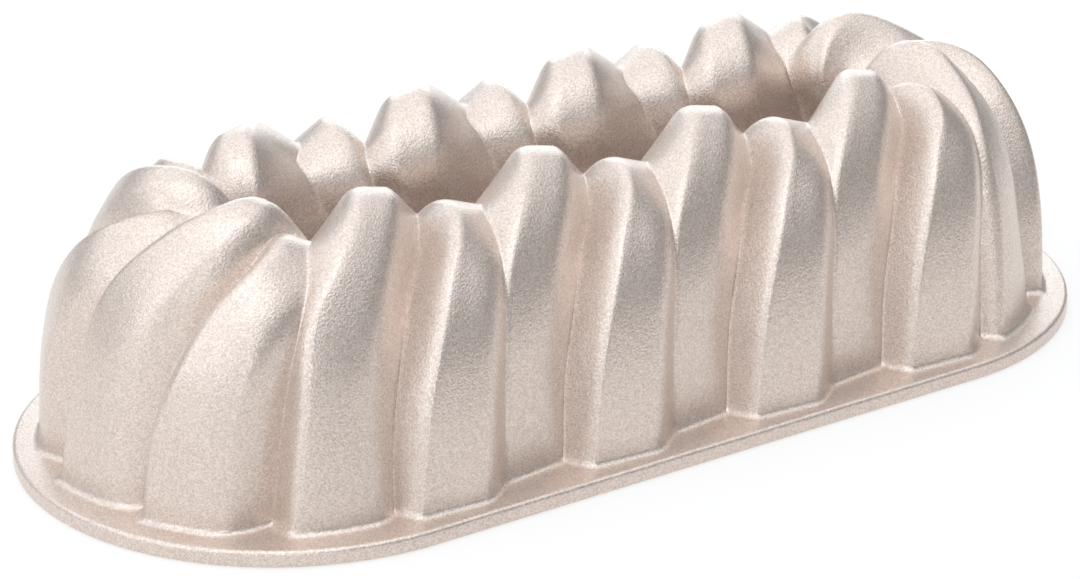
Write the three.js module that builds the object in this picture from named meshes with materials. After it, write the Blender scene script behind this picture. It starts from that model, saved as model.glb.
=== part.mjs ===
// Fluted tube pan in cast aluminium, standing upside down on its rim.
// A stadium-shaped ring mould: twenty-four twisted flutes climb from a flat rim,
// turn over a rounded crest and run down into an oblong centre tube.
// Millimetres, +Z up, +X along the length, rim underside on z = 0.
import * as THREE from "three";

// Driving dimensions
const LENGTH = 315;
const WIDTH = 142;
const RIM_THICKNESS = 4.4;
const RIM_CHAMFER = 0.8;
const RIM_STEP = 4; // longest stretch between points of the rim's outline
const WALL = 3.2;
const COAT = 0.6;
const GAP = 0.3;
const FLUTE_GAP = 0.6; // between neighbouring flutes, which turn past each other
const COAT_GAP = 1.05; // along the section, so that steep slopes keep GAP
const LIP_BOTTOM = 1.0;
const LIP_TOP = 4.0;
const FLUTE_PAIRS = 12;

// Pattern: one pair is a foot flute (proud at the rim) and a crown flute (proud at the crest)
const PATTERN_RADIUS = 44; // on the round ends, where the pitch equals that of the sides
const FIRST_VALLEY = -39.6; // along the front side, at the rim
const BACK_LEAD = 4.8; // how far the flutes of the back side run ahead
const LEAD_ASIDE = 30; // how far to the right of the back side's middle that lead is centred
const LEAD_FROM = 170; // from that centre, where the lead starts
const LEAD_BLEND = 60;
const SWIRL = 1.3; // how far the turn on the round ends follows the local radius
const CORNER_BEVEL = 1.6;
const NARROWEST = 2.4;
const END_BLEND = 18; // stretch over which a side turns into a round end
const SQUEEZE_POWER = 0.8; // how flutes narrow with the local radius on the round ends
const TUBE_FROM = 0.6; // stations between which narrowed flutes also get shallower
const TUBE_TO = 0.8;

const RIM_RADIUS = WIDTH / 2;
const HALF_SIDE = LENGTH / 2 - RIM_RADIUS;
const HALF_TURN = Math.PI * PATTERN_RADIUS;
const LOOP = 4 * HALF_SIDE + 2 * HALF_TURN;
const PITCH = LOOP / FLUTE_PAIRS;
const FLUTES = 2 * FLUTE_PAIRS;

// Floor of the valleys, as reach from the spine and height: foot, wall, crest, tube
const SECTION = [
  [57.0, 4.4],
  [56.2, 15],
  [54.2, 30],
  [50.8, 43],
  [45.0, 54],
  [36.8, 62],
  [28.0, 65.2],
  [20.4, 60],
  [15.2, 46],
  [12.8, 26],
  [11.8, 4],
];

// Stations along that floor, as shares of its length:
// foot, wall, shoulder, outer crest, inner crest, brow, throat, tube, lip
const STATIONS = [0, 0.2, 0.36, 0.475, 0.53, 0.57, 0.62, 0.68, 1];

// Each flute is a flat face between two edges with a slope on each side.
// Edges lie along the loop from the pair's first valley, heights stand on the valley floor,
// and softness is how far in height the edges are rounded.
const FOOT_FLUTE = {
  leftEdge: [3.85, 8.9, 19.4, 32.4, 34.6, 35.2, 35.5, 33, 32],
  rightEdge: [24.2, 27.6, 34, 41, 41.2, 42.5, 42, 40, 38.5],
  leftHeight: [7.7, 8.6, 9.4, 10, 6.3, 4.2, 3, 1.5, 0.5],
  rightHeight: [9.2, 9.6, 9.2, 5.8, 4.2, 2.5, 1, 0, 0],
  leftSlope: [2.1, 2.3, 2.2, 1.6, 0.9, 0.5, 0.35, 0.35, 0.4],
  rightSlope: [0.72, 0.9, 0.8, 0.55, 0.35, 0.3, 0.33, 0.43, 0.4],
  softness: [2.6, 3.2, 4, 5, 3, 2, 1.5, 1.5, 1.5],
};
const CROWN_FLUTE = {
  leftEdge: [31, 34.6, 39.2, 51.5, 62, 65, 66.4, 64.3, 63],
  rightEdge: [53, 50.4, 55.6, 67, 73.6, 78.7, 78.3, 74, 72.5],
  leftHeight: [2.7, 3.7, 6.2, 10.4, 13.1, 11.6, 9.2, 6.4, 3],
  rightHeight: [0.2, 2, 4.9, 7.9, 10.6, 8.4, 6.6, 4.4, 2],
  leftSlope: [1.7, 1.5, 1.4, 0.9, 0.85, 0.62, 0.46, 0.36, 0.3],
  rightSlope: [0.9, 0.55, 0.7, 1.05, 1.75, 1.3, 1.1, 0.8, 0.6],
  softness: [2.6, 2.6, 2.6, 2.6, 2.2, 1.5, 1.2, 1.2, 1.2],
};

// On the round ends the flutes fan out: crown flutes rise at the foot and change at the crest,
// foot flutes sink on the wall. Each change fades away from its own station.
const END_CROWN_FOOT = { left: 4.2, right: 4.4, fadesAt: 0.45 };
const END_CROWN_CREST = { leftEnd: 1, rightEnd: -2.5, station: 0.5, spread: 0.1 };
const END_FOOT_WALL = { left: -1, right: -2.2, fadesAt: 0.5 };

// Rows of the mesh, closer together where the section turns
const ROWS = [0, 0.12, 0.24, 0.34, 0.42, 0.48, 0.53, 0.58, 0.65, 0.78, 1];
const PATH_STEPS = 200;
const NEARBY = 1e-4; // share of the section's length over which its direction is taken
const VALLEY_HALVINGS = 40;
const SPREADING_PASSES = 4;
const LEAST_COLUMN = 1 / 12; // of a flute's width

const clamp = THREE.MathUtils.clamp;

/** Smooth curve through values at given places. */
function keyed(places, values, at) {
  const last = places.length - 1;
  const slope = (i) => {
    const a = Math.max(i - 1, 0);
    const b = Math.min(i + 1, last);
    return (values[b] - values[a]) / (places[b] - places[a]);
  };
  let i = 0;
  while (i < last - 1 && at >= places[i + 1]) i += 1;
  const span = places[i + 1] - places[i];
  const t = (at - places[i]) / span;
  const s = 1 - t;
  return (
    (1 + 2 * t) * s * s * values[i] +
    t * s * s * span * slope(i) +
    t * t * (3 - 2 * t) * values[i + 1] -
    t * t * s * span * slope(i + 1)
  );
}

const sectionPlaces = SECTION.reduce((places, [r, z], i) => {
  const before = SECTION[i - 1];
  places.push(i ? places[i - 1] + Math.hypot(r - before[0], z - before[1]) : 0);
  return places;
}, []).map((place, i, all) => place / all[all.length - 1]);

/** Reach, height and outward normal of the valley floor. */
function floorAt(station) {
  const reach = (v) => keyed(sectionPlaces, SECTION.map((p) => p[0]), v);
  const height = (v) => keyed(sectionPlaces, SECTION.map((p) => p[1]), v);
  const low = Math.max(station - NEARBY, 0);
  const high = Math.min(station + NEARBY, 1);
  const along = new THREE.Vector2(reach(high) - reach(low), height(high) - height(low)).normalize();
  return { reach: reach(station), height: height(station), out: new THREE.Vector2(along.y, -along.x) };
}

/** Loop place brought to within half a loop of the front middle. */
function wrapped(u, loop = LOOP) {
  return THREE.MathUtils.euclideanModulo(u + loop / 2, loop) - loop / 2;
}

/** 0 on the straight sides, 1 on the round ends, blended between. */
function endShare(u) {
  const past = Math.abs(wrapped(u)) - HALF_SIDE;
  const x = clamp((0.5 * Math.min(past, HALF_TURN - past)) / END_BLEND + 0.5, 0, 1);
  return x * x * (3 - 2 * x);
}

/** Real length along the loop at a given stretch of the round ends. */
function lengthOf(u, stretch) {
  const w = wrapped(u);
  const past = Math.max(Math.abs(w) - HALF_SIDE, 0);
  const turn = Math.min(past, HALF_TURN);
  return Math.sign(w) * (Math.abs(w) - past + turn * stretch + past - turn);
}

/** The loop place for a real length, the other way round. */
function placeOf(length, stretch) {
  const w = wrapped(length, 4 * HALF_SIDE + 2 * HALF_TURN * stretch);
  const past = Math.max(Math.abs(w) - HALF_SIDE, 0);
  const turn = Math.min(past / stretch, HALF_TURN);
  return Math.sign(w) * (Math.abs(w) - past + turn + Math.max(past - HALF_TURN * stretch, 0));
}

/** Point in space for a loop place, a reach from the spine and a height. */
function pointAt(u, reach, height) {
  const w = wrapped(u);
  const side = Math.sign(w);
  const past = Math.abs(w) - HALF_SIDE;
  if (past <= 0) return new THREE.Vector3(w, -reach, height);
  if (past >= HALF_TURN) return new THREE.Vector3(side * (HALF_SIDE - past + HALF_TURN), reach, height);
  const turn = past / PATTERN_RADIUS;
  const x = side * (HALF_SIDE + reach * Math.sin(turn));
  return new THREE.Vector3(x, -reach * Math.cos(turn), height);
}

/** Lesser of two heights with the corner between them rounded. */
function softMin(a, b, softness) {
  const h = clamp(0.5 + (0.5 * (b - a)) / softness, 0, 1);
  return b * (1 - h) + a * h - softness * h * (1 - h);
}

/** Loop places of one flute's middle from foot to lip, turning further on the round ends. */
function flutePath(index) {
  const kind = index % 2 ? CROWN_FLUTE : FOOT_FLUTE;
  const middle = (v) =>
    (keyed(STATIONS, kind.leftEdge, v) + keyed(STATIONS, kind.rightEdge, v)) / 2;
  const start = FIRST_VALLEY + PITCH * Math.floor(index / 2);
  const off = Math.abs(start - LOOP / 2 + LEAD_ASIDE);
  const behind = clamp((LEAD_FROM - off) / LEAD_BLEND, 0, 1);
  const lead = BACK_LEAD * behind * behind * (3 - 2 * behind);
  const path = [start + lead + middle(0)];
  for (let i = 0; i < PATH_STEPS; i += 1) {
    const v = i / PATH_STEPS;
    const follow = (PATTERN_RADIUS / floorAt(v).reach) ** SWIRL - 1;
    const step = middle((i + 1) / PATH_STEPS) - middle(v);
    path.push(path[i] + step * (1 + endShare(path[i]) * follow));
  }
  return path;
}

const paths = Array.from({ length: FLUTES }, (_, index) => flutePath(index));

/** All the flutes at one station, with their faces set in by a wall thickness. */
class Row {
  constructor(station, inset) {
    this.station = station;
    this.inset = inset;
    this.floor = floorAt(station);
    this.stretch = this.floor.reach / PATTERN_RADIUS;
    this.loop = 4 * HALF_SIDE + 2 * HALF_TURN * this.stretch;
    this.flutes = paths.map((path, index) => this.flute(path, index));
    this.flutes.forEach((flute, i) => {
      while (i && flute.middle < this.flutes[i - 1].middle) flute.middle += this.loop;
    });
    this.valleys = this.findValleys();
  }

  flute(path, index) {
    const v = this.station;
    const crown = index % 2 === 1;
    const kind = crown ? CROWN_FLUTE : FOOT_FLUTE;
    const value = (name) => keyed(STATIONS, kind[name], v);
    const at = v * PATH_STEPS;
    const step = Math.min(Math.floor(at), PATH_STEPS - 1);
    const u = THREE.MathUtils.lerp(path[step], path[step + 1], at - step);
    const end = endShare(u);
    const squeeze = 1 - end * (1 - Math.min(1, this.stretch) ** SQUEEZE_POWER);
    const sink = 1 - (1 - squeeze) * clamp((v - TUBE_FROM) / (TUBE_TO - TUBE_FROM), 0, 1);
    const crest = Math.exp(-(((v - END_CROWN_CREST.station) / END_CROWN_CREST.spread) ** 2));
    const crestLift = wrapped(u) < 0 ? END_CROWN_CREST.leftEnd : END_CROWN_CREST.rightEnd;
    const fade = (change) => Math.max(0, 1 - v / change.fadesAt);
    const lift = (side) =>
      crown
        ? end * (fade(END_CROWN_FOOT) * END_CROWN_FOOT[side] + crest * crestLift)
        : end * fade(END_FOOT_WALL) * END_FOOT_WALL[side];
    return {
      middle: lengthOf(u, this.stretch),
      half: (squeeze * (value("rightEdge") - value("leftEdge"))) / 2,
      left: sink * (value("leftHeight") + lift("left")),
      right: sink * (value("rightHeight") + lift("right")),
      leftSlope: value("leftSlope"),
      rightSlope: value("rightSlope"),
      softness: value("softness"),
    };
  }

  middleOf(index) {
    const turns = Math.floor(index / FLUTES);
    return this.flutes[index - turns * FLUTES].middle + turns * this.loop;
  }

  /** Height of one flute alone at a length along the loop. */
  lobe(index, length) {
    const f = this.flutes[THREE.MathUtils.euclideanModulo(index, FLUTES)];
    const x = length - this.middleOf(index);
    const tilt = (f.right - f.left) / (2 * f.half);
    const set = (slope) => this.inset * Math.hypot(1, slope);
    const face = (f.left + f.right) / 2 + tilt * x - set(tilt);
    const left = f.left + f.leftSlope * (x + f.half) - set(f.leftSlope);
    const right = f.right - f.rightSlope * (x - f.half) - set(f.rightSlope);
    return softMin(softMin(face, left, f.softness), right, f.softness);
  }

  /** Height of the shape: the highest of a flute and its neighbours. */
  height(index, length) {
    return Math.max(...[-1, 0, 1].map((i) => this.lobe(index + i, length)));
  }

  /** Length at which flute index hands over to the next one. */
  valley(index) {
    let low = this.middleOf(index);
    let high = this.middleOf(index + 1);
    for (let i = 0; i < VALLEY_HALVINGS; i += 1) {
      const mid = (low + high) / 2;
      if (this.lobe(index, mid) > this.lobe(index + 1, mid)) low = mid;
      else high = mid;
    }
    return (low + high) / 2;
  }

  /** Valleys round the loop, kept far enough apart for every flute to have a width. */
  findValleys() {
    const found = this.flutes.map((_, i) => this.valley(i));
    const at = (i) => {
      const turns = Math.floor(i / FLUTES);
      return found[i - turns * FLUTES] + turns * this.loop;
    };
    for (let pass = 0; pass < SPREADING_PASSES; pass += 1) {
      for (let i = 0; i < FLUTES; i += 1) {
        const short = NARROWEST - (at(i) - at(i - 1));
        if (short > 0) {
          found[i] += short / 2;
          found[(i + FLUTES - 1) % FLUTES] -= short / 2;
        }
      }
    }
    return at;
  }

  /** Lengths of one flute's columns: valley, two bevelled edges, valley. */
  columns(index, margin) {
    const start = this.valleys(index - 1) + margin;
    const stop = this.valleys(index) - margin;
    const flute = this.flutes[THREE.MathUtils.euclideanModulo(index, FLUTES)];
    const middle = this.middleOf(index);
    const wanted = [
      middle - flute.half - CORNER_BEVEL,
      middle - flute.half + CORNER_BEVEL,
      middle + flute.half - CORNER_BEVEL,
      middle + flute.half + CORNER_BEVEL,
    ];
    const least = (stop - start) * LEAST_COLUMN;
    const columns = [start];
    wanted.forEach((length, i) => {
      const low = columns[i] + least;
      const high = stop - least * (wanted.length - i);
      columns.push(clamp(length, low, high));
    });
    columns.push(stop);
    return columns;
  }

  /** Points across one flute; the first and last rows end level. */
  points(index, margin, drop = 0) {
    return this.columns(index, margin).map((length) => {
      const rise = this.height(index, length) - drop;
      const { reach, height, out } = this.floor;
      const level = { 0: RIM_THICKNESS + GAP, 1: LIP_TOP + GAP }[this.station];
      return pointAt(placeOf(length, this.stretch), reach + out.x * rise, level ?? height + out.y * rise);
    });
  }
}

/** Triangles between rows of points, gathered into one mesh. */
class Skin {
  constructor() {
    this.corners = [];
  }

  quad(a, b, c, d) {
    this.corners.push(a, b, d, b, c, d);
  }

  grid(rows, flipped = false) {
    for (let j = 0; j + 1 < rows.length; j += 1) {
      for (let i = 0; i + 1 < rows[j].length; i += 1) {
        const [a, b] = rows[j].slice(i, i + 2);
        const [d, c] = rows[j + 1].slice(i, i + 2);
        if (flipped) this.quad(a, d, c, b);
        else this.quad(a, b, c, d);
      }
    }
  }

  mesh(name, material) {
    const geometry = new THREE.BufferGeometry().setFromPoints(this.corners);
    geometry.computeVertexNormals();
    const mesh = new THREE.Mesh(geometry, material);
    mesh.name = name;
    return mesh;
  }
}

const castMetal = () =>
  new THREE.MeshStandardMaterial({ color: 0xcdbfb5, roughness: 0.42, metalness: 0.75 });
const releaseCoat = () =>
  new THREE.MeshStandardMaterial({ color: 0xb9a79b, roughness: 0.5, metalness: 0.4 });

const outside = ROWS.map((v) => new Row(v, 0));
const inside = ROWS.map((v) => new Row(v, WALL));

/** One flute: an arched shell from the rim over the crest to the tube lip. */
function fluteMesh(index) {
  const outer = outside.map((row) => row.points(index, FLUTE_GAP / 2));
  const inner = inside.map((row) => row.points(index, FLUTE_GAP / 2));
  const skin = new Skin();
  skin.grid(outer);
  skin.grid(inner, true);
  skin.grid([outer, inner].map((rows) => rows.map((row) => row[0])));
  skin.grid([outer, inner].map((rows) => rows.map((row) => row.at(-1))), true);
  skin.grid([outer[0], inner[0]], true);
  skin.grid([outer.at(-1), inner.at(-1)]);
  const kind = index % 2 ? "crown" : "foot";
  const number = String(Math.floor(index / 2) + 1).padStart(2, "0");
  return skin.mesh(`${kind}_flute_${number}`, castMetal());
}

/** Points right round the loop at one row, ending on the first again. */
function wholeRow(row, drop = 0) {
  const round = paths.flatMap((_, i) => row.points(i, 0, drop).slice(0, -1));
  return [...round, round[0]];
}

/** The release coat: a thin skin inside all the flutes. */
function coatMesh() {
  const outer = inside.map((row) => wholeRow(row, COAT_GAP));
  const inner = inside.map((row) => wholeRow(row, COAT_GAP + COAT));
  const skin = new Skin();
  skin.grid(outer);
  skin.grid(inner, true);
  skin.grid([outer[0], inner[0]], true);
  skin.grid([outer.at(-1), inner.at(-1)]);
  return skin.mesh("release_coat", releaseCoat());
}

/** A ring from a list of loops of points, each loop a corner of its cross-section. */
function ringMesh(name, loops) {
  const skin = new Skin();
  skin.grid([...loops, loops[0]]);
  return skin.mesh(name, castMetal());
}

const atHeight = (loop, z) => loop.map((p) => new THREE.Vector3(p.x, p.y, z));

/** A loop of points with its long stretches cut into equal shorter ones. */
function refined(loop) {
  const cut = loop.slice(1).flatMap((point, i) => {
    const parts = Math.ceil(point.distanceTo(loop[i]) / RIM_STEP);
    return Array.from({ length: parts }, (_, k) => loop[i].clone().lerp(point, k / parts));
  });
  return [...cut, cut[0]];
}

/** The flat rim: stadium outside, following the feet of the flutes inside. */
function rimMesh() {
  const mouth = refined(wholeRow(inside[0]));
  const edge = (inset) =>
    mouth.map((p) => {
      const x = clamp(p.x, -HALF_SIDE, HALF_SIDE);
      const out = new THREE.Vector2(p.x - x, p.y).setLength(RIM_RADIUS - inset);
      return new THREE.Vector3(x + out.x, out.y, 0);
    });
  return ringMesh("rim_flange", [
    atHeight(mouth, 0),
    atHeight(edge(0), 0),
    atHeight(edge(0), RIM_THICKNESS - RIM_CHAMFER),
    atHeight(edge(RIM_CHAMFER), RIM_THICKNESS),
    atHeight(mouth, RIM_THICKNESS),
  ]);
}

/** The plain edge at the bottom of the centre tube. */
function lipMesh() {
  const well = wholeRow(outside.at(-1));
  const cavity = wholeRow(inside.at(-1));
  return ringMesh("tube_lip", [
    atHeight(well, LIP_BOTTOM),
    atHeight(cavity, LIP_BOTTOM),
    atHeight(cavity, LIP_TOP),
    atHeight(well, LIP_TOP),
  ]);
}

const pan = new THREE.Group();
pan.name = "fluted_tube_pan";
pan.add(rimMesh(), lipMesh(), coatMesh());
for (let index = 0; index < FLUTES; index += 1) pan.add(fluteMesh(index));

export default pan;
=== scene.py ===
"""Fluted tube pan, cast and pearl-coated, standing rim down on a white table.

The pan is an oblong ring mould. Twisted flutes of two kinds alternate round it: foot flutes are
proud at the rim, crown flutes are proud at the crest. Each is bent out of a flat slab, and the rim,
the tube lip and the release coat are bent out of closed rings, all by the same pattern.
"""
import logging
import math
from dataclasses import dataclass
from enum import Enum

import bpy
import numpy as np
from mathutils import Euler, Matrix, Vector


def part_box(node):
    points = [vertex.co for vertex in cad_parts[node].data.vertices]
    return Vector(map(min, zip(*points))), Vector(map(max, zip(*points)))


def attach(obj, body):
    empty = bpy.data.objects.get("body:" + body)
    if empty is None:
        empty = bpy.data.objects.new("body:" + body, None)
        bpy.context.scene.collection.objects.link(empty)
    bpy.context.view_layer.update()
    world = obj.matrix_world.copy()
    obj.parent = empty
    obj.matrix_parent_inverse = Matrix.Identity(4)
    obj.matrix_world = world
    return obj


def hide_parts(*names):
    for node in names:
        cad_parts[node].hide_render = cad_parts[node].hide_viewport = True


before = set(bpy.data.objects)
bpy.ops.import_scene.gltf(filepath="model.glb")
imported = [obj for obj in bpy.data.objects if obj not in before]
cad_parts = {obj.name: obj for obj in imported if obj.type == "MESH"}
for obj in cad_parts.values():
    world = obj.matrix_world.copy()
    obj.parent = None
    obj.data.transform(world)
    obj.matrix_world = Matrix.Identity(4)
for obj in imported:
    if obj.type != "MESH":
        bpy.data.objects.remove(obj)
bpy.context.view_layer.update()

LOG = logging.getLogger("fluted_tube_pan")
MM = 0.001
BODY = "root"
# Length of the rim and thickness of the cast wall, in millimetres
PAN_LENGTH = 315.0
WALL = 3.2
# Share of the section over which the flutes settle on the level rim and lip
LEVEL_UNTIL = 0.12
# Vertices closer than this, in metres, are merged where a ring closes
SEAM = 1e-7
# Faces look smooth where they meet at less than this angle, in degrees
SMOOTH_WITHIN = 38.0
# Daylight tint of the lamps
COOL = (0.9, 0.96, 1.0)

Colour = tuple[float, float, float]
Point = tuple[float, float, float]
Values = np.ndarray | tuple[float, ...]


class Slot(Enum):
    """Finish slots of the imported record."""

    CAST = "champagne_cast"
    COAT = "release_coat"


class Side(Enum):
    """Sides of a flute's flat face."""

    LEFT = "left"
    RIGHT = "right"


def eased(share: np.ndarray) -> np.ndarray:
    """A share between 0 and 1 that starts and stops gently."""
    return share * share * (3 - 2 * share)


def keyed(places: Values, values: Values, at: np.ndarray) -> np.ndarray:
    """Smooth curve through values at given places.

    Args:
        places: Rising places of the values.
        values: The values there.
        at: Places to read.

    Returns:
        The curve at those places.
    """
    places = np.asarray(places, float)
    values = np.asarray(values, float)
    order = np.arange(len(places))
    before = np.maximum(order - 1, 0)
    after = np.minimum(order + 1, len(places) - 1)
    slopes = (values[after] - values[before]) / (places[after] - places[before])
    start = np.clip(np.searchsorted(places, at, side="right") - 1, 0, len(places) - 2)
    stop = start + 1
    span = places[stop] - places[start]
    gone = (at - places[start]) / span
    left = 1 - gone
    near = (1 + 2 * gone) * left * left * values[start] + gone * left * left * span * slopes[start]
    far = gone * gone * (3 - 2 * gone) * values[stop] - gone * gone * left * span * slopes[stop]
    return near + far


def soft_min(a: np.ndarray, b: np.ndarray, softness: np.ndarray | float) -> np.ndarray:
    """Lesser of two heights with the corner between them rounded.

    Args:
        a: One height.
        b: The other height.
        softness: How far from the corner the rounding starts.

    Returns:
        The rounded lesser height.
    """
    share = np.clip(0.5 + 0.5 * (b - a) / softness, 0, 1)
    return b * (1 - share) + a * share - softness * share * (1 - share)


# Stations along the section, as shares of its length:
# foot, wall, shoulder, outer crest, inner crest, brow, throat, tube, lip
STATIONS = (0, 0.2, 0.36, 0.475, 0.53, 0.57, 0.62, 0.68, 1)


@dataclass(frozen=True)
class FluteKind:
    """One kind of flute, station by station: a flat face between two edges, with a slope on each side.

    Edges lie along the loop from the pair's first valley, heights stand on the valley floor.
    """

    name: str
    left_edge: tuple[float, ...]
    right_edge: tuple[float, ...]
    left_height: tuple[float, ...]
    right_height: tuple[float, ...]
    left_slope: tuple[float, ...]
    right_slope: tuple[float, ...]
    softness: tuple[float, ...]

    def middle(self, stations: np.ndarray) -> np.ndarray:
        """Middle of the flat face along the loop, at given stations."""
        return keyed(STATIONS, np.add(self.left_edge, self.right_edge) / 2, stations)

    def half_width(self, stations: np.ndarray) -> np.ndarray:
        """Half the flat face's width at given stations."""
        return keyed(STATIONS, np.subtract(self.right_edge, self.left_edge) / 2, stations)

    def height(self, side: Side) -> tuple[float, ...]:
        """Heights of one edge, station by station."""
        return self.left_height if side is Side.LEFT else self.right_height


FOOT = FluteKind(
    name="foot",
    left_edge=(3.85, 8.9, 19.4, 32.4, 34.6, 35.2, 35.5, 33, 32),
    right_edge=(24.2, 27.6, 34, 41, 41.2, 42.5, 42, 40, 38.5),
    left_height=(7.7, 8.6, 9.4, 10, 6.3, 4.2, 3, 1.5, 0.5),
    right_height=(9.2, 9.6, 9.2, 5.8, 4.2, 2.5, 1, 0, 0),
    left_slope=(2.1, 2.3, 2.2, 1.6, 0.9, 0.5, 0.35, 0.35, 0.4),
    right_slope=(0.72, 0.9, 0.8, 0.55, 0.35, 0.3, 0.33, 0.43, 0.4),
    softness=(2.6, 3.2, 4, 6, 4.5, 2.8, 2, 1.5, 1.5),
)
CROWN = FluteKind(
    name="crown",
    left_edge=(31, 34.6, 39.2, 51.5, 62, 65, 66.4, 64.3, 63),
    right_edge=(53, 50.4, 55.6, 67, 73.6, 78.7, 78.3, 74, 72.5),
    left_height=(2.7, 3.7, 6.2, 10.4, 13.1, 11.6, 9.2, 6.4, 3),
    right_height=(0.2, 2, 4.9, 7.9, 10.6, 8.4, 6.6, 4.4, 2),
    left_slope=(1.7, 1.5, 1.4, 0.9, 0.85, 0.62, 0.46, 0.36, 0.3),
    right_slope=(0.9, 0.55, 0.7, 1.05, 1.75, 1.3, 1.1, 0.8, 0.6),
    softness=(2.6, 2.6, 2.6, 3.3, 3.4, 2.2, 1.6, 1.3, 1.2),
)


@dataclass(frozen=True)
class EndLift:
    """How much higher or lower the edges of a kind of flute run on the round ends."""

    left: float
    right: float

    def at(self, side: Side) -> float:
        """The lift of one edge."""
        return self.left if side is Side.LEFT else self.right


@dataclass(frozen=True)
class Pattern:
    """The stadium loop of flutes, in millimetres.

    Loop places start at the middle of the front side and run counter-clockwise. On the round ends
    they are lengths at the pattern radius.
    """

    length: float
    width: float
    pairs: int = 12
    pattern_radius: float = 44.0
    first_valley: float = -39.6
    # Flutes on the back run ahead, within a distance of a place a little aside of its middle
    back_lead: float = 4.8
    lead_aside: float = 30.0
    lead_from: float = 170.0
    lead_blend: float = 60.0
    # How much further flutes turn on the round ends, and the blend into the straight sides
    swirl: float = 1.3
    end_blend: float = 18.0
    # Flutes narrow where the round ends are tight, and sink there between two stations of the tube
    squeeze_power: float = 0.8
    tube_from: float = 0.6
    tube_to: float = 0.8
    # Heights on the round ends that differ from those on the straight sides
    crown_foot: EndLift = EndLift(4.2, 4.4)
    crown_foot_fades: float = 0.45
    crown_crest_left_end: float = 1.0
    crown_crest_right_end: float = -2.5
    crown_crest_station: float = 0.5
    crown_crest_spread: float = 0.1
    foot_wall: EndLift = EndLift(-1.0, -2.2)
    foot_wall_fades: float = 0.5
    # Fineness of the flutes' paths and of the floor's direction
    path_steps: int = 200
    nearby: float = 1e-4
    # Floor of the valleys, as reach from the spine and height: foot, wall, crest, tube
    section: tuple[tuple[float, float], ...] = (
        (57.0, 4.4),
        (56.2, 15),
        (54.2, 30),
        (50.8, 43),
        (45.0, 54),
        (36.8, 62),
        (28.0, 65.2),
        (20.4, 60),
        (15.2, 46),
        (12.8, 26),
        (11.8, 4),
    )

    @property
    def flutes(self) -> int:
        """Number of flutes."""
        return 2 * self.pairs

    @property
    def rim_radius(self) -> float:
        """Radius of the rim's round ends."""
        return self.width / 2

    @property
    def half_side(self) -> float:
        """Half the length of a straight side."""
        return self.length / 2 - self.rim_radius

    @property
    def half_turn(self) -> float:
        """Length of a round end at the pattern radius."""
        return math.pi * self.pattern_radius

    @property
    def loop(self) -> float:
        """Length of the whole loop at the pattern radius."""
        return self.loop_at(1)

    def loop_at(self, stretch: np.ndarray | float) -> np.ndarray | float:
        """Length of the whole loop where the round ends are stretched."""
        return 4 * self.half_side + 2 * self.half_turn * stretch

    def kind(self, index: int) -> FluteKind:
        """The kind of a flute by its number round the loop."""
        return CROWN if index % 2 else FOOT

    def floor(self, stations: np.ndarray) -> tuple[np.ndarray, np.ndarray, np.ndarray]:
        """The valley floor.

        Args:
            stations: Shares of the section's length.

        Returns:
            Reach and height, and the outward direction with a row for each station.
        """
        corners = np.array(self.section)
        steps = np.linalg.norm(np.diff(corners, axis=0), axis=1)
        places = np.concatenate([[0], np.cumsum(steps)]) / steps.sum()
        low = np.maximum(stations - self.nearby, 0)
        high = np.minimum(stations + self.nearby, 1)
        reach, rise = (keyed(places, axis, stations) for axis in corners.T)
        away, up = (keyed(places, axis, high) - keyed(places, axis, low) for axis in corners.T)
        out = np.stack([up, -away], axis=-1)
        return reach, rise, out / np.linalg.norm(out, axis=-1, keepdims=True)

    @staticmethod
    def wrapped(place: np.ndarray, loop: np.ndarray | float) -> np.ndarray:
        """A place brought to within half a loop of the front middle."""
        return (place + loop / 2) % loop - loop / 2

    def end_share(self, place: np.ndarray) -> np.ndarray:
        """How far places are on the round ends.

        Args:
            place: Loop places.

        Returns:
            0 on the straight sides, 1 on the round ends, blended between.
        """
        past = np.abs(self.wrapped(place, self.loop)) - self.half_side
        inside = np.minimum(past, self.half_turn - past)
        return eased(np.clip(0.5 * inside / self.end_blend + 0.5, 0, 1))

    def length_of(self, place: np.ndarray, stretch: np.ndarray) -> np.ndarray:
        """Real lengths along the loop.

        Args:
            place: Loop places.
            stretch: How much longer than at the pattern radius the round ends are.

        Returns:
            Lengths from the front middle.
        """
        place = self.wrapped(place, self.loop)
        past = np.maximum(np.abs(place) - self.half_side, 0)
        turn = np.minimum(past, self.half_turn)
        return np.sign(place) * (np.abs(place) - turn + turn * stretch)

    def place_of(self, length: np.ndarray, stretch: np.ndarray) -> np.ndarray:
        """Loop places for real lengths along the loop.

        Args:
            length: Lengths from the front middle.
            stretch: How much longer than at the pattern radius the round ends are.

        Returns:
            Loop places.
        """
        length = self.wrapped(length, self.loop_at(stretch))
        past = np.maximum(np.abs(length) - self.half_side, 0)
        turn = np.minimum(past / stretch, self.half_turn)
        beyond = np.maximum(past - self.half_turn * stretch, 0)
        return np.sign(length) * (np.abs(length) - past + turn + beyond)

    def points(self, place: np.ndarray, reach: np.ndarray, height: np.ndarray) -> np.ndarray:
        """Points in space.

        Args:
            place: Loop places.
            reach: Distances from the spine.
            height: Heights over the table.

        Returns:
            Points with x, y and z in the last axis.
        """
        place = self.wrapped(place, self.loop)
        past = np.abs(place) - self.half_side
        turn = np.clip(past, 0, self.half_turn) / self.pattern_radius
        straight = self.half_side + np.minimum(past, 0) - np.maximum(past - self.half_turn, 0)
        along = np.sign(place) * (straight + reach * np.sin(turn))
        return np.stack([along, -reach * np.cos(turn), height], axis=-1)

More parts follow.
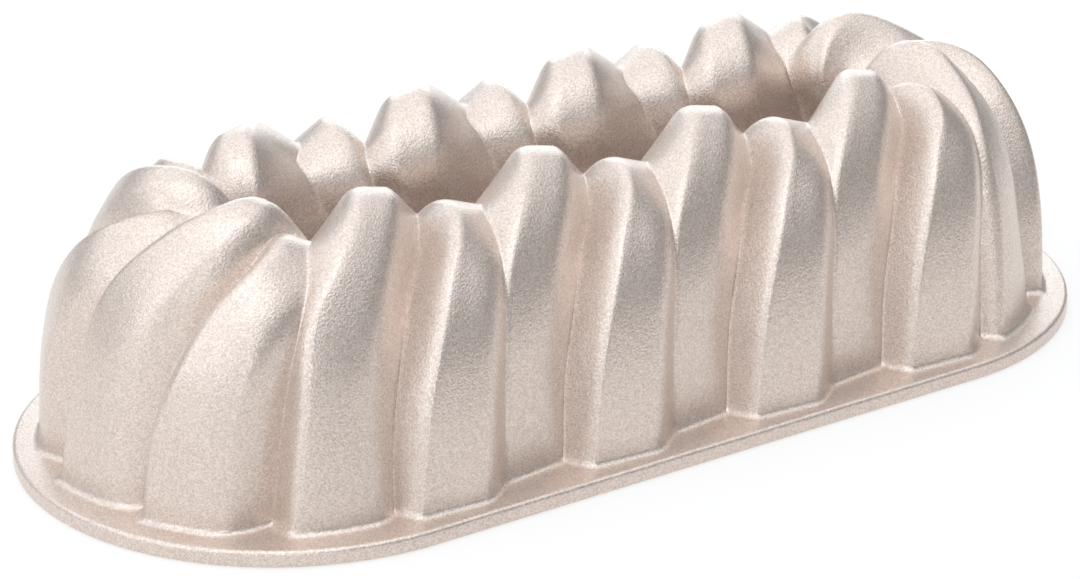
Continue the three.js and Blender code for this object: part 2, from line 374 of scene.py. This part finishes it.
    def paths(self, stations: np.ndarray) -> np.ndarray:
        """Loop places of the flutes' middles, which turn further on the round ends.

        Args:
            stations: Shares of the section's length.

        Returns:
            A row for each flute and a column for each station.
        """
        steps = np.linspace(0, 1, self.path_steps + 1)
        middles = np.stack([self.kind(i).middle(steps) for i in range(self.flutes)])
        follow = (self.pattern_radius / self.floor(steps)[0]) ** self.swirl - 1
        pitch = self.loop / self.pairs
        starts = self.first_valley + pitch * (np.arange(self.flutes) // 2)
        off = np.abs(starts - self.loop / 2 + self.lead_aside)
        lead = self.back_lead * eased(np.clip((self.lead_from - off) / self.lead_blend, 0, 1))
        places = [starts + lead + middles[:, 0]]
        for i in range(self.path_steps):
            further = 1 + self.end_share(places[-1]) * follow[i]
            places.append(places[-1] + (middles[:, i + 1] - middles[:, i]) * further)
        rows = np.stack(places, axis=1)
        return np.stack([np.interp(stations, steps, row) for row in rows])


class FluteField:
    """The flutes' surface over a set of stations, set in or out by a thickness."""

    VALLEY_SOFTNESS = 0.9
    CORNER_REACH = 1.8
    VALLEY_EASE = 1.7
    HALVINGS = 40
    NARROWEST = 2.4
    SPREADING_PASSES = 4
    LEAST_SHARE = 0.03

    def __init__(self, pattern: Pattern, stations: np.ndarray, inset: np.ndarray | float) -> None:
        """Works out every flute at every station.

        Args:
            pattern: The loop of flutes.
            stations: Shares of the section's length.
            inset: Thickness by which the surface is set in, for all or for each station.
        """
        self.pattern = pattern
        self.stations = stations
        self.inset = (np.zeros_like(stations) + inset)[:, None]
        self.reach, self.rise, self.out = pattern.floor(stations)
        self.stretch = self.reach / pattern.pattern_radius
        self.loop = pattern.loop_at(self.stretch)
        self.paths = pattern.paths(stations)
        self.middles = self._unrolled(pattern.length_of(self.paths, self.stretch))
        self.valleys = self._spread([self._valley(i) for i in range(pattern.flutes)])

    def _unrolled(self, middles: np.ndarray) -> np.ndarray:
        """Middles that rise from flute to flute, without the jump where the loop starts again.

        Args:
            middles: Lengths, a row for each flute.

        Returns:
            The same rows, with whole loops added.
        """
        for i in range(1, len(middles)):
            turns = np.ceil(np.maximum(middles[i - 1] - middles[i], 0) / self.loop)
            middles[i] += turns * self.loop
        return middles

    def _at(self, rows: np.ndarray, index: int) -> np.ndarray:
        """A row for any flute number, counted on round the loop."""
        turns, index = divmod(index, self.pattern.flutes)
        return rows[index] + turns * self.loop

    def _squeeze(self, index: int) -> np.ndarray:
        """How a flute narrows where the round ends get tight."""
        end = self.pattern.end_share(self.paths[index % self.pattern.flutes])
        return 1 - end * (1 - np.minimum(1, self.stretch) ** self.pattern.squeeze_power)

    def _half(self, index: int) -> np.ndarray:
        """Half the width of a flute's flat face."""
        return self._squeeze(index) * self.pattern.kind(index).half_width(self.stations)

    def _lift(self, index: int, side: Side) -> np.ndarray:
        """How much higher a flute's edge runs on a round end than on a straight side.

        Args:
            index: The flute's number.
            side: The edge.

        Returns:
            Extra heights at every station.
        """
        pattern = self.pattern
        if pattern.kind(index) is FOOT:
            return np.maximum(0, 1 - self.stations / pattern.foot_wall_fades) * pattern.foot_wall.at(side)
        foot = np.maximum(0, 1 - self.stations / pattern.crown_foot_fades) * pattern.crown_foot.at(side)
        off_crest = (self.stations - pattern.crown_crest_station) / pattern.crown_crest_spread
        at_left = pattern.wrapped(self.paths[index], pattern.loop) < 0
        crest = np.where(at_left, pattern.crown_crest_left_end, pattern.crown_crest_right_end)
        return foot + np.exp(-(off_crest ** 2)) * crest

    def _heights(self, index: int, side: Side) -> np.ndarray:
        """Height of a flute's edge over the valley floor.

        Args:
            index: The flute's number.
            side: The edge.

        Returns:
            Heights at every station.
        """
        pattern = self.pattern
        index %= pattern.flutes
        deep = np.clip((self.stations - pattern.tube_from) / (pattern.tube_to - pattern.tube_from), 0, 1)
        sink = 1 - (1 - self._squeeze(index)) * deep
        height = keyed(STATIONS, pattern.kind(index).height(side), self.stations)
        return sink * (height + pattern.end_share(self.paths[index]) * self._lift(index, side))

    def _lobe(self, index: int, lengths: np.ndarray) -> np.ndarray:
        """Height of one flute alone.

        Args:
            index: The flute's number.
            lengths: Real lengths along the loop, a row for each station.

        Returns:
            Heights over the valley floor.
        """
        kind = self.pattern.kind(index)
        half = self._half(index)[:, None]
        low = self._heights(index, Side.LEFT)[:, None]
        high = self._heights(index, Side.RIGHT)[:, None]
        left_slope = keyed(STATIONS, kind.left_slope, self.stations)[:, None]
        right_slope = keyed(STATIONS, kind.right_slope, self.stations)[:, None]
        across = lengths - self._at(self.middles, index)[:, None]
        tilt = (high - low) / (2 * half)
        face = (low + high) / 2 + tilt * across - self.inset * np.hypot(1, tilt)
        left = low + left_slope * (across + half) - self.inset * np.hypot(1, left_slope)
        right = high - right_slope * (across - half) - self.inset * np.hypot(1, right_slope)
        softness = keyed(STATIONS, kind.softness, self.stations)[:, None]
        return soft_min(soft_min(face, left, softness), right, softness)

    def _valley(self, index: int) -> np.ndarray:
        """Where a flute hands over to the next one.

        Args:
            index: The flute's number.

        Returns:
            Lengths along the loop at every station.
        """
        low = self._at(self.middles, index)
        high = self._at(self.middles, index + 1)
        for _ in range(self.HALVINGS):
            mid = (low + high) / 2
            near = self._lobe(index, mid[:, None]) > self._lobe(index + 1, mid[:, None])
            low = np.where(near[:, 0], mid, low)
            high = np.where(near[:, 0], high, mid)
        return (low + high) / 2

    def _spread(self, valleys: list[np.ndarray]) -> np.ndarray:
        """Valleys pushed far enough apart for every flute to have a width.

        Args:
            valleys: Lengths along the loop, for each flute.

        Returns:
            A row for each flute.
        """
        found = np.stack(valleys)
        for _ in range(self.SPREADING_PASSES):
            for i in range(len(found)):
                short = np.maximum(0, self.NARROWEST - (found[i] - self._at(found, i - 1)))
                found[i] += short / 2
                found[i - 1] -= short / 2
        return found

    def _columns(self, index: int, cuts: int) -> np.ndarray:
        """Lengths of one flute's columns, closer together at its edges and valleys.

        Args:
            index: The flute's number.
            cuts: Columns in each of the five stretches between valleys and edges.

        Returns:
            A row for each station.
        """
        start = self._at(self.valleys, index - 1)
        stop = self._at(self.valleys, index)
        middle = self._at(self.middles, index)
        half = self._half(index)
        edges = (middle - half, middle + half)
        wanted = [edge + way * self.CORNER_REACH for edge in edges for way in (-1, 1)]
        least = (stop - start) * self.LEAST_SHARE
        knots = [start]
        for i, length in enumerate(wanted):
            knots.append(np.clip(length, knots[i] + least, stop - least * (len(wanted) - i)))
        knots.append(stop)
        even = np.linspace(0, 1, cuts, endpoint=False)
        shares = [even ** self.VALLEY_EASE, even, even, even, 1 - (1 - even) ** self.VALLEY_EASE]
        columns = [
            near[:, None] + (far - near)[:, None] * share
            for near, far, share in zip(knots, knots[1:], shares)
        ]
        return np.concatenate([*columns, stop[:, None]], axis=1)

    def surface(self, index: int, cuts: int, drop: float = 0) -> np.ndarray:
        """Points over one flute.

        Args:
            index: The flute's number.
            cuts: Columns in each of the five stretches across it.
            drop: Extra depth below the surface.

        Returns:
            Points by station, column and axis, in millimetres.
        """
        lengths = self._columns(index, cuts)
        height = self._lobe(index, lengths)
        for beside in (index - 1, index + 1):
            height = -soft_min(-height, -self._lobe(beside, lengths), self.VALLEY_SOFTNESS)
        height = height - drop
        place = self.pattern.place_of(lengths, self.stretch[:, None])
        off_rim = np.clip(self.stations / LEVEL_UNTIL, 0, 1)
        off_lip = np.clip((1 - self.stations) / LEVEL_UNTIL, 0, 1)
        reach = self.reach[:, None] + self.out[:, :1] * height
        rise = self.rise[:, None] + (self.out[:, 1] * (off_rim * off_lip))[:, None] * height
        return self.pattern.points(place, reach, rise)

    def ring(self, cuts: int, drop: float = 0) -> np.ndarray:
        """Points right round the pan, by station, column and axis, in millimetres."""
        parts = [self.surface(i, cuts, drop)[:, :-1] for i in range(self.pattern.flutes)]
        return np.concatenate(parts, axis=1)


@dataclass(frozen=True)
class PearlFinish:
    """A pearl coating: base and flake colours, gloss and the scale of its grain."""

    name: str
    base: Colour
    flake: Colour
    metallic: float
    roughness: float
    roughness_spread: float
    coat: float
    coat_roughness: float
    flakes_per_metre: float
    pebbles_per_metre: float
    pebble_depth: float

    def material(self, grain: bpy.types.NodeTree) -> bpy.types.Material:
        """Builds the material.

        Args:
            grain: The pearl grain node group.

        Returns:
            The new material.
        """
        material = bpy.data.materials.new(self.name)
        material.use_nodes = True
        nodes = material.node_tree.nodes
        links = material.node_tree.links
        shader = nodes["Principled BSDF"]
        shader.inputs["Metallic"].default_value = self.metallic
        shader.inputs["Coat Weight"].default_value = self.coat
        shader.inputs["Coat Roughness"].default_value = self.coat_roughness
        group = nodes.new("ShaderNodeGroup")
        group.node_tree = grain
        for name, value in (
            ("Base", (*self.base, 1)),
            ("Flake", (*self.flake, 1)),
            ("Roughness", self.roughness),
            ("Roughness Spread", self.roughness_spread),
            ("Flakes", self.flakes_per_metre),
            ("Pebbles", self.pebbles_per_metre),
        ):
            group.inputs[name].default_value = value
        bump = nodes.new("ShaderNodeBump")
        bump.inputs["Strength"].default_value = 1.0
        bump.inputs["Distance"].default_value = self.pebble_depth
        links.new(group.outputs["Colour"], shader.inputs["Base Color"])
        links.new(group.outputs["Roughness"], shader.inputs["Roughness"])
        links.new(group.outputs["Height"], bump.inputs["Height"])
        links.new(bump.outputs["Normal"], shader.inputs["Normal"])
        return material


class PearlGrain:
    """Node group for the grain of a pearl coating: tiny flakes over a pebbled skin."""

    INPUTS = (
        ("Base", "NodeSocketColor"),
        ("Flake", "NodeSocketColor"),
        ("Roughness", "NodeSocketFloat"),
        ("Roughness Spread", "NodeSocketFloat"),
        ("Flakes", "NodeSocketFloat"),
        ("Pebbles", "NodeSocketFloat"),
    )
    OUTPUTS = (
        ("Colour", "NodeSocketColor"),
        ("Roughness", "NodeSocketFloat"),
        ("Height", "NodeSocketFloat"),
    )
    PEBBLE_DETAIL = 2.0
    PEBBLE_ROUGHNESS = 0.5

    def build(self) -> bpy.types.NodeTree:
        """Builds the group.

        Returns:
            The node group.
        """
        tree = bpy.data.node_groups.new("pearl_grain", "ShaderNodeTree")
        for way, sockets in (("INPUT", self.INPUTS), ("OUTPUT", self.OUTPUTS)):
            for name, kind in sockets:
                tree.interface.new_socket(name, in_out=way, socket_type=kind)
        nodes = tree.nodes
        links = tree.links
        given = nodes.new("NodeGroupInput")
        result = nodes.new("NodeGroupOutput")
        where = nodes.new("ShaderNodeTexCoord")
        flakes = nodes.new("ShaderNodeTexVoronoi")
        flakes.feature = "F1"
        links.new(where.outputs["Object"], flakes.inputs["Vector"])
        links.new(given.outputs["Flakes"], flakes.inputs["Scale"])
        shade = nodes.new("ShaderNodeSeparateColor")
        links.new(flakes.outputs["Color"], shade.inputs["Color"])
        pebbles = nodes.new("ShaderNodeTexNoise")
        pebbles.inputs["Detail"].default_value = self.PEBBLE_DETAIL
        pebbles.inputs["Roughness"].default_value = self.PEBBLE_ROUGHNESS
        links.new(where.outputs["Object"], pebbles.inputs["Vector"])
        links.new(given.outputs["Pebbles"], pebbles.inputs["Scale"])
        colour = nodes.new("ShaderNodeMix")
        colour.data_type = "RGBA"
        links.new(shade.outputs["Red"], colour.inputs["Factor"])
        links.new(given.outputs["Base"], colour.inputs["A"])
        links.new(given.outputs["Flake"], colour.inputs["B"])
        gloss = nodes.new("ShaderNodeMath")
        gloss.operation = "MULTIPLY_ADD"
        links.new(shade.outputs["Green"], gloss.inputs[0])
        links.new(given.outputs["Roughness Spread"], gloss.inputs[1])
        links.new(given.outputs["Roughness"], gloss.inputs[2])
        links.new(colour.outputs["Result"], result.inputs["Colour"])
        links.new(gloss.outputs[0], result.inputs["Roughness"])
        links.new(pebbles.outputs[0], result.inputs["Height"])
        return tree


CHAMPAGNE = PearlFinish(
    name="champagne_pearl",
    base=(0.57, 0.47, 0.412),
    flake=(0.825, 0.71, 0.642),
    metallic=0.75,
    roughness=0.31,
    roughness_spread=0.08,
    coat=0.45,
    coat_roughness=0.3,
    flakes_per_metre=3200.0,
    pebbles_per_metre=1700.0,
    pebble_depth=0.00014,
)
RELEASE = PearlFinish(
    name="release_coating",
    base=(0.40, 0.33, 0.29),
    flake=(0.60, 0.52, 0.47),
    metallic=0.35,
    roughness=0.45,
    roughness_spread=0.1,
    coat=0.1,
    coat_roughness=0.3,
    flakes_per_metre=1500.0,
    pebbles_per_metre=700.0,
    pebble_depth=0.00005,
)


def at_height(loop: np.ndarray, height: float) -> np.ndarray:
    """The points of a loop brought to one height."""
    return np.column_stack([loop[:, :2], np.full(len(loop), height)])


def shaped(piece: bpy.types.Object, points: np.ndarray) -> None:
    """Moves a piece's vertices and smooths its faces.

    Args:
        piece: The piece.
        points: A point for each vertex, in millimetres.
    """
    piece.data.vertices.foreach_set("co", (points.reshape(-1, 3) * MM).ravel())
    piece.data.update()
    bpy.ops.object.select_all(action="DESELECT")
    piece.select_set(True)
    bpy.context.view_layer.objects.active = piece
    bpy.ops.object.shade_smooth_by_angle(angle=math.radians(SMOOTH_WITHIN))


def sheet(name: str, columns: int, rows: int) -> bpy.types.Object:
    """A flat sheet of unit size, cut into columns and rows.

    Args:
        name: Name of the piece.
        columns: Faces along x.
        rows: Faces along y.

    Returns:
        The sheet, with its vertices row by row.
    """
    bpy.ops.object.select_all(action="DESELECT")
    bpy.ops.mesh.primitive_grid_add(x_subdivisions=columns, y_subdivisions=rows, size=1)
    piece = bpy.context.object
    piece.name = piece.data.name = name
    return piece


def slab(name: str, columns: int, rows: int) -> bpy.types.Object:
    """A flat slab of unit size, cut into columns and rows, with its top at z = 0.

    Args:
        name: Name of the piece.
        columns: Faces along x.
        rows: Faces along y.

    Returns:
        The slab.
    """
    piece = sheet(name, columns, rows)
    bpy.ops.object.mode_set(mode="EDIT")
    bpy.ops.mesh.select_all(action="SELECT")
    bpy.ops.mesh.extrude_region_move(TRANSFORM_OT_translate={"value": (0, 0, -1)})
    bpy.ops.mesh.select_all(action="SELECT")
    bpy.ops.mesh.normals_make_consistent(inside=False)
    bpy.ops.object.mode_set(mode="OBJECT")
    return piece


def closed_ring(name: str, section: np.ndarray) -> bpy.types.Object:
    """A ring with a closed cross-section.

    Args:
        name: Name of the piece.
        section: Points by corner of the cross-section, column round the loop and axis. The corners
            run up the outside, over the top, down the inside and back underneath.

    Returns:
        The ring.
    """
    corners, columns = section.shape[:2]
    piece = sheet(name, columns, corners)
    row, column = np.divmod(np.arange(len(piece.data.vertices)), columns + 1)
    shaped(piece, section[row % corners, column % columns])
    bpy.ops.object.mode_set(mode="EDIT")
    bpy.ops.mesh.select_all(action="SELECT")
    bpy.ops.mesh.remove_doubles(threshold=SEAM)
    bpy.ops.object.mode_set(mode="OBJECT")
    bpy.ops.object.shade_smooth_by_angle(angle=math.radians(SMOOTH_WITHIN))
    return piece


def dressed(
    piece: bpy.types.Object, material: bpy.types.Material, node: str,
) -> None:
    """Gives a piece its finish and its place in the frame.

    Args:
        piece: The piece.
        material: Its material.
        node: The solid that it stands for.
    """
    piece.data.materials.clear()
    piece.data.materials.append(material)
    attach(piece, BODY)
    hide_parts(node)
    LOG.info("%s: %d faces, stands for %s", piece.name, len(piece.data.polygons), node)


@dataclass
class Flutes:
    """All the flutes, each one a cast shell with a fillet where it stands on the rim."""

    pattern: Pattern
    rim_top: float
    wall: float = WALL
    fillet: float = 1.8
    fillet_rows: int = 6
    fillet_probes: int = 200
    rows: int = 96
    cuts: int = 5

    def stations(self) -> np.ndarray:
        """Stations of the rows, closer together in the fillet.

        Returns:
            Shares of the section's length, from the foot to the lip.
        """
        probe = np.linspace(0, LEVEL_UNTIL, self.fillet_probes)
        rise = self.pattern.floor(probe)[1] - self.rim_top
        turn = np.linspace(0, math.pi / 2, self.fillet_rows, endpoint=False)
        low = np.interp(self.fillet * (1 - np.cos(turn)), rise, probe)
        return np.concatenate([low, np.linspace(np.interp(self.fillet, rise, probe), 1, self.rows)])

    def flare(self, stations: np.ndarray) -> np.ndarray:
        """How far the fillet stands out.

        Args:
            stations: Shares of the section's length.

        Returns:
            Distances at those stations, 0 above the fillet.
        """
        rise = np.clip(self.pattern.floor(stations)[1] - self.rim_top, 0, self.fillet)
        rest = self.fillet - rise
        return self.fillet - np.sqrt(self.fillet ** 2 - rest ** 2)

    def build(self, material: bpy.types.Material) -> None:
        """Builds every flute.

        Args:
            material: Their finish.
        """
        stations = self.stations()
        skin = FluteField(self.pattern, stations, -self.flare(stations))
        back = FluteField(self.pattern, stations, self.wall)
        for index in range(self.pattern.flutes):
            node = f"{self.pattern.kind(index).name}_flute_{index // 2 + 1:02d}"
            layers = np.stack([field.surface(index, self.cuts) for field in (skin, back)])
            dressed(self.bent(f"{node}_casting", layers), material, node)

    def bent(self, name: str, layers: np.ndarray) -> bpy.types.Object:
        """Bends one flute out of a slab.

        Args:
            name: Name of the piece.
            layers: Points by layer, row, column and axis: the skin outside, then the cavity's side.

        Returns:
            The flute.
        """
        rows, columns = layers.shape[1:3]
        piece = slab(name, columns - 1, rows - 1)
        flat = np.empty(len(piece.data.vertices) * 3)
        piece.data.vertices.foreach_get("co", flat)
        x, y, z = flat.reshape(-1, 3).T
        column = np.rint((x + 0.5) * (columns - 1)).astype(int)
        row = np.rint((y + 0.5) * (rows - 1)).astype(int)
        layer = np.rint(-z).astype(int)
        shaped(piece, layers[layer, row, column])
        return piece


@dataclass
class Rim:
    """The flat rim: a stadium outside, the mouth of the cavity inside."""

    pattern: Pattern
    thickness: float
    wall: float = WALL
    top_round: float = 1.1
    bottom_round: float = 0.6
    round_steps: int = 5
    cuts: int = 4

    def edge(self, mouth: np.ndarray, inset: float) -> np.ndarray:
        """The outer edge, set in, opposite each point of the mouth.

        Args:
            mouth: Points round the mouth.
            inset: How far the edge is set in.

        Returns:
            Points on the edge, with their z left at 0.
        """
        spine = np.zeros_like(mouth)
        spine[:, 0] = np.clip(mouth[:, 0], -self.pattern.half_side, self.pattern.half_side)
        out = mouth - spine
        out[:, 2] = 0
        out *= (self.pattern.rim_radius - inset) / np.linalg.norm(out, axis=1, keepdims=True)
        return spine + out

    def build(self, material: bpy.types.Material) -> None:
        """Builds the rim.

        Args:
            material: Its finish.
        """
        mouth = FluteField(self.pattern, np.array([0.0]), self.wall).ring(self.cuts)[0]
        turns = np.linspace(0, math.pi / 2, self.round_steps)
        loops = []
        for turn in turns:
            edge = self.edge(mouth, self.bottom_round * (1 - math.sin(turn)))
            loops.append(at_height(edge, self.bottom_round * (1 - math.cos(turn))))
        for turn in turns:
            edge = self.edge(mouth, self.top_round * (1 - math.cos(turn)))
            loops.append(at_height(edge, self.thickness - self.top_round * (1 - math.sin(turn))))
        loops.append(at_height(mouth, self.thickness))
        loops.append(at_height(mouth, 0))
        dressed(closed_ring("rim_casting", np.stack(loops)), material, "rim_flange")


@dataclass
class TubeLip:
    """The plain edge at the bottom of the centre tube."""

    pattern: Pattern
    bottom: float
    top: float
    wall: float = WALL
    edge_round: float = 0.8
    cuts: int = 3

    def build(self, material: bpy.types.Material) -> None:
        """Builds the lip.

        Args:
            material: Its finish.
        """
        end = np.array([1.0])
        well = FluteField(self.pattern, end, 0).ring(self.cuts)[0]
        cavity = FluteField(self.pattern, end, self.wall).ring(self.cuts)[0]
        share = self.edge_round / self.wall
        # Corners of the section, as shares of the way from the cavity to the well, and heights
        corners = (
            (0, self.bottom + self.edge_round),
            (0, self.top),
            (1, self.top),
            (1, self.bottom + self.edge_round),
            (1 - share, self.bottom),
            (share, self.bottom),
        )
        loops = [at_height(cavity + (well - cavity) * across, height) for across, height in corners]
        dressed(closed_ring("tube_lip_casting", np.stack(loops)), material, "tube_lip")


@dataclass
class ReleaseCoat:
    """The thin coating inside the flutes."""

    pattern: Pattern
    wall: float = WALL
    gap: float = 1.05
    thickness: float = 0.6
    rows: int = 56
    cuts: int = 2

    def build(self, material: bpy.types.Material) -> None:
        """Builds the coat.

        Args:
            material: Its finish.
        """
        field = FluteField(self.pattern, np.linspace(0, 1, self.rows), self.wall)
        outer = field.ring(self.cuts, self.gap)
        inner = field.ring(self.cuts, self.gap + self.thickness)
        section = np.concatenate([outer, inner[::-1]])
        dressed(closed_ring("release_coat_skin", section), material, "release_coat")


@dataclass(frozen=True)
class SoftBox:
    """A soft area lamp that looks at the pan, in metres and watts."""

    name: str
    place: Point
    size: tuple[float, float]
    power: float
    colour: Colour = COOL

    def build(self) -> None:
        """Adds the lamp."""
        lamp = bpy.data.lights.new(self.name, "AREA")
        lamp.shape = "RECTANGLE"
        lamp.size, lamp.size_y = self.size
        lamp.energy = self.power
        lamp.color = self.colour
        item = bpy.data.objects.new(self.name, lamp)
        bpy.context.collection.objects.link(item)
        item.location = self.place
        item.rotation_euler = (-Vector(self.place)).to_track_quat("-Z", "Y").to_euler()


@dataclass
class Studio:
    """White table, soft lamps, surroundings and the camera, in metres and degrees."""

    turn: float = -34.478
    tilt: float = 23.189
    distance: float = 1.05546
    aside: float = -0.006082
    above: float = 0.020466
    lens: float = 129.79
    sensor: float = 36.0
    # The table, and the share of plain white in what the camera and the metal see of it
    table_size: float = 8.0
    table_drop: float = 0.0003
    table_colour: Colour = (0.9, 0.885, 0.87)
    table_roughness: float = 0.9
    table_white: float = 0.7
    # The room, brightest in one direction and dim at the horizon
    room_colour: Colour = (0.93, 0.97, 1)
    brightest: Point = (-0.2, 0.1, 0.97)
    dim_until: float = 0.15
    bright_from: float = 0.75
    dim_light: float = 0.24
    bright_light: float = 1.44
    lamps: tuple[SoftBox, ...] = (
        SoftBox("left_softbox", (-1.5, -0.35, 0.42), (1.3, 0.75), 3.1),
        SoftBox("high_softbox", (-0.45, -0.65, 1.35), (1.2, 0.9), 2.7),
        SoftBox("edge_softbox", (-0.85, -1.35, 0.35), (0.25, 0.55), 1.9),
        SoftBox("back_softbox", (0.9, 1.25, 0.42), (1.2, 0.7), 5.0),
    )

    def camera(self) -> None:
        """Adds the camera."""
        data = bpy.data.cameras.new("photo_camera")
        data.sensor_width = self.sensor
        data.lens = self.lens
        item = bpy.data.objects.new("photo_camera", data)
        bpy.context.collection.objects.link(item)
        item.rotation_euler = Euler((math.radians(90 - self.tilt), 0, math.radians(self.turn)))
        stand = Vector((self.aside, self.above, self.distance))
        item.location = item.rotation_euler.to_matrix() @ stand
        bpy.context.scene.camera = item

    def table(self) -> None:
        """Adds the table, which the camera sees as white with the pan's shadow."""
        bpy.ops.object.select_all(action="DESELECT")
        bpy.ops.mesh.primitive_plane_add(size=self.table_size, location=(0, 0, -self.table_drop))
        table = bpy.context.object
        table.name = "table"
        material = bpy.data.materials.new("white_table")
        material.use_nodes = True
        nodes = material.node_tree.nodes
        links = material.node_tree.links
        shader = nodes["Principled BSDF"]
        shader.inputs["Base Color"].default_value = (*self.table_colour, 1)
        shader.inputs["Roughness"].default_value = self.table_roughness
        white = nodes.new("ShaderNodeEmission")
        rays = nodes.new("ShaderNodeLightPath")
        mirrored = nodes.new("ShaderNodeMath")
        mirrored.operation = "MAXIMUM"
        links.new(rays.outputs["Is Glossy Ray"], mirrored.inputs[0])
        links.new(rays.outputs["Is Transmission Ray"], mirrored.inputs[1])
        seen = nodes.new("ShaderNodeMath")
        seen.operation = "MAXIMUM"
        links.new(rays.outputs["Is Camera Ray"], seen.inputs[0])
        links.new(mirrored.outputs[0], seen.inputs[1])
        share = nodes.new("ShaderNodeMath")
        share.operation = "MULTIPLY"
        share.inputs[1].default_value = self.table_white
        links.new(seen.outputs[0], share.inputs[0])
        mix = nodes.new("ShaderNodeMixShader")
        links.new(share.outputs[0], mix.inputs[0])
        links.new(shader.outputs[0], mix.inputs[1])
        links.new(white.outputs[0], mix.inputs[2])
        links.new(mix.outputs[0], nodes["Material Output"].inputs["Surface"])
        table.data.materials.append(material)

    def surroundings(self) -> None:
        """Sets the room's light: bright above, dim at the horizon."""
        world = bpy.data.worlds.new("studio")
        world.use_nodes = True
        bpy.context.scene.world = world
        nodes = world.node_tree.nodes
        links = world.node_tree.links
        where = nodes.new("ShaderNodeTexCoord")
        towards = nodes.new("ShaderNodeVectorMath")
        towards.operation = "DOT_PRODUCT"
        towards.inputs[1].default_value = Vector(self.brightest).normalized()
        links.new(where.outputs["Generated"], towards.inputs[0])
        spread = nodes.new("ShaderNodeMapRange")
        spread.interpolation_type = "SMOOTHSTEP"
        spread.inputs["From Min"].default_value = self.dim_until
        spread.inputs["From Max"].default_value = self.bright_from
        spread.inputs["To Min"].default_value = self.dim_light
        spread.inputs["To Max"].default_value = self.bright_light
        links.new(towards.outputs["Value"], spread.inputs["Value"])
        background = nodes["Background"]
        background.inputs["Color"].default_value = (*self.room_colour, 1)
        links.new(spread.outputs["Result"], background.inputs["Strength"])

    def build(self) -> None:
        """Builds the studio."""
        bpy.context.scene.view_settings.view_transform = "Standard"
        self.camera()
        self.table()
        self.surroundings()
        for lamp in self.lamps:
            lamp.build()


def spans(node: str) -> np.ndarray:
    """Lowest and highest corners of a solid, in millimetres."""
    return np.array(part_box(node)) / MM


def main() -> None:
    """Builds the pan piece by piece, then the studio, and notes the sizes."""
    logging.basicConfig(level=logging.INFO, format="%(message)s")
    rim = spans("rim_flange")
    lip = spans("tube_lip")
    pattern = Pattern(length=PAN_LENGTH, width=float(rim[1][1] - rim[0][1]))
    rim_top = float(rim[1][2])
    grain = PearlGrain().build()
    champagne = CHAMPAGNE.material(grain)
    Rim(pattern, rim_top).build(champagne)
    Flutes(pattern, rim_top).build(champagne)
    TubeLip(pattern, float(lip[0][2]), float(lip[1][2])).build(champagne)
    ReleaseCoat(pattern).build(RELEASE.material(grain))
    Studio().build()


if __name__ == "__main__":
    main()
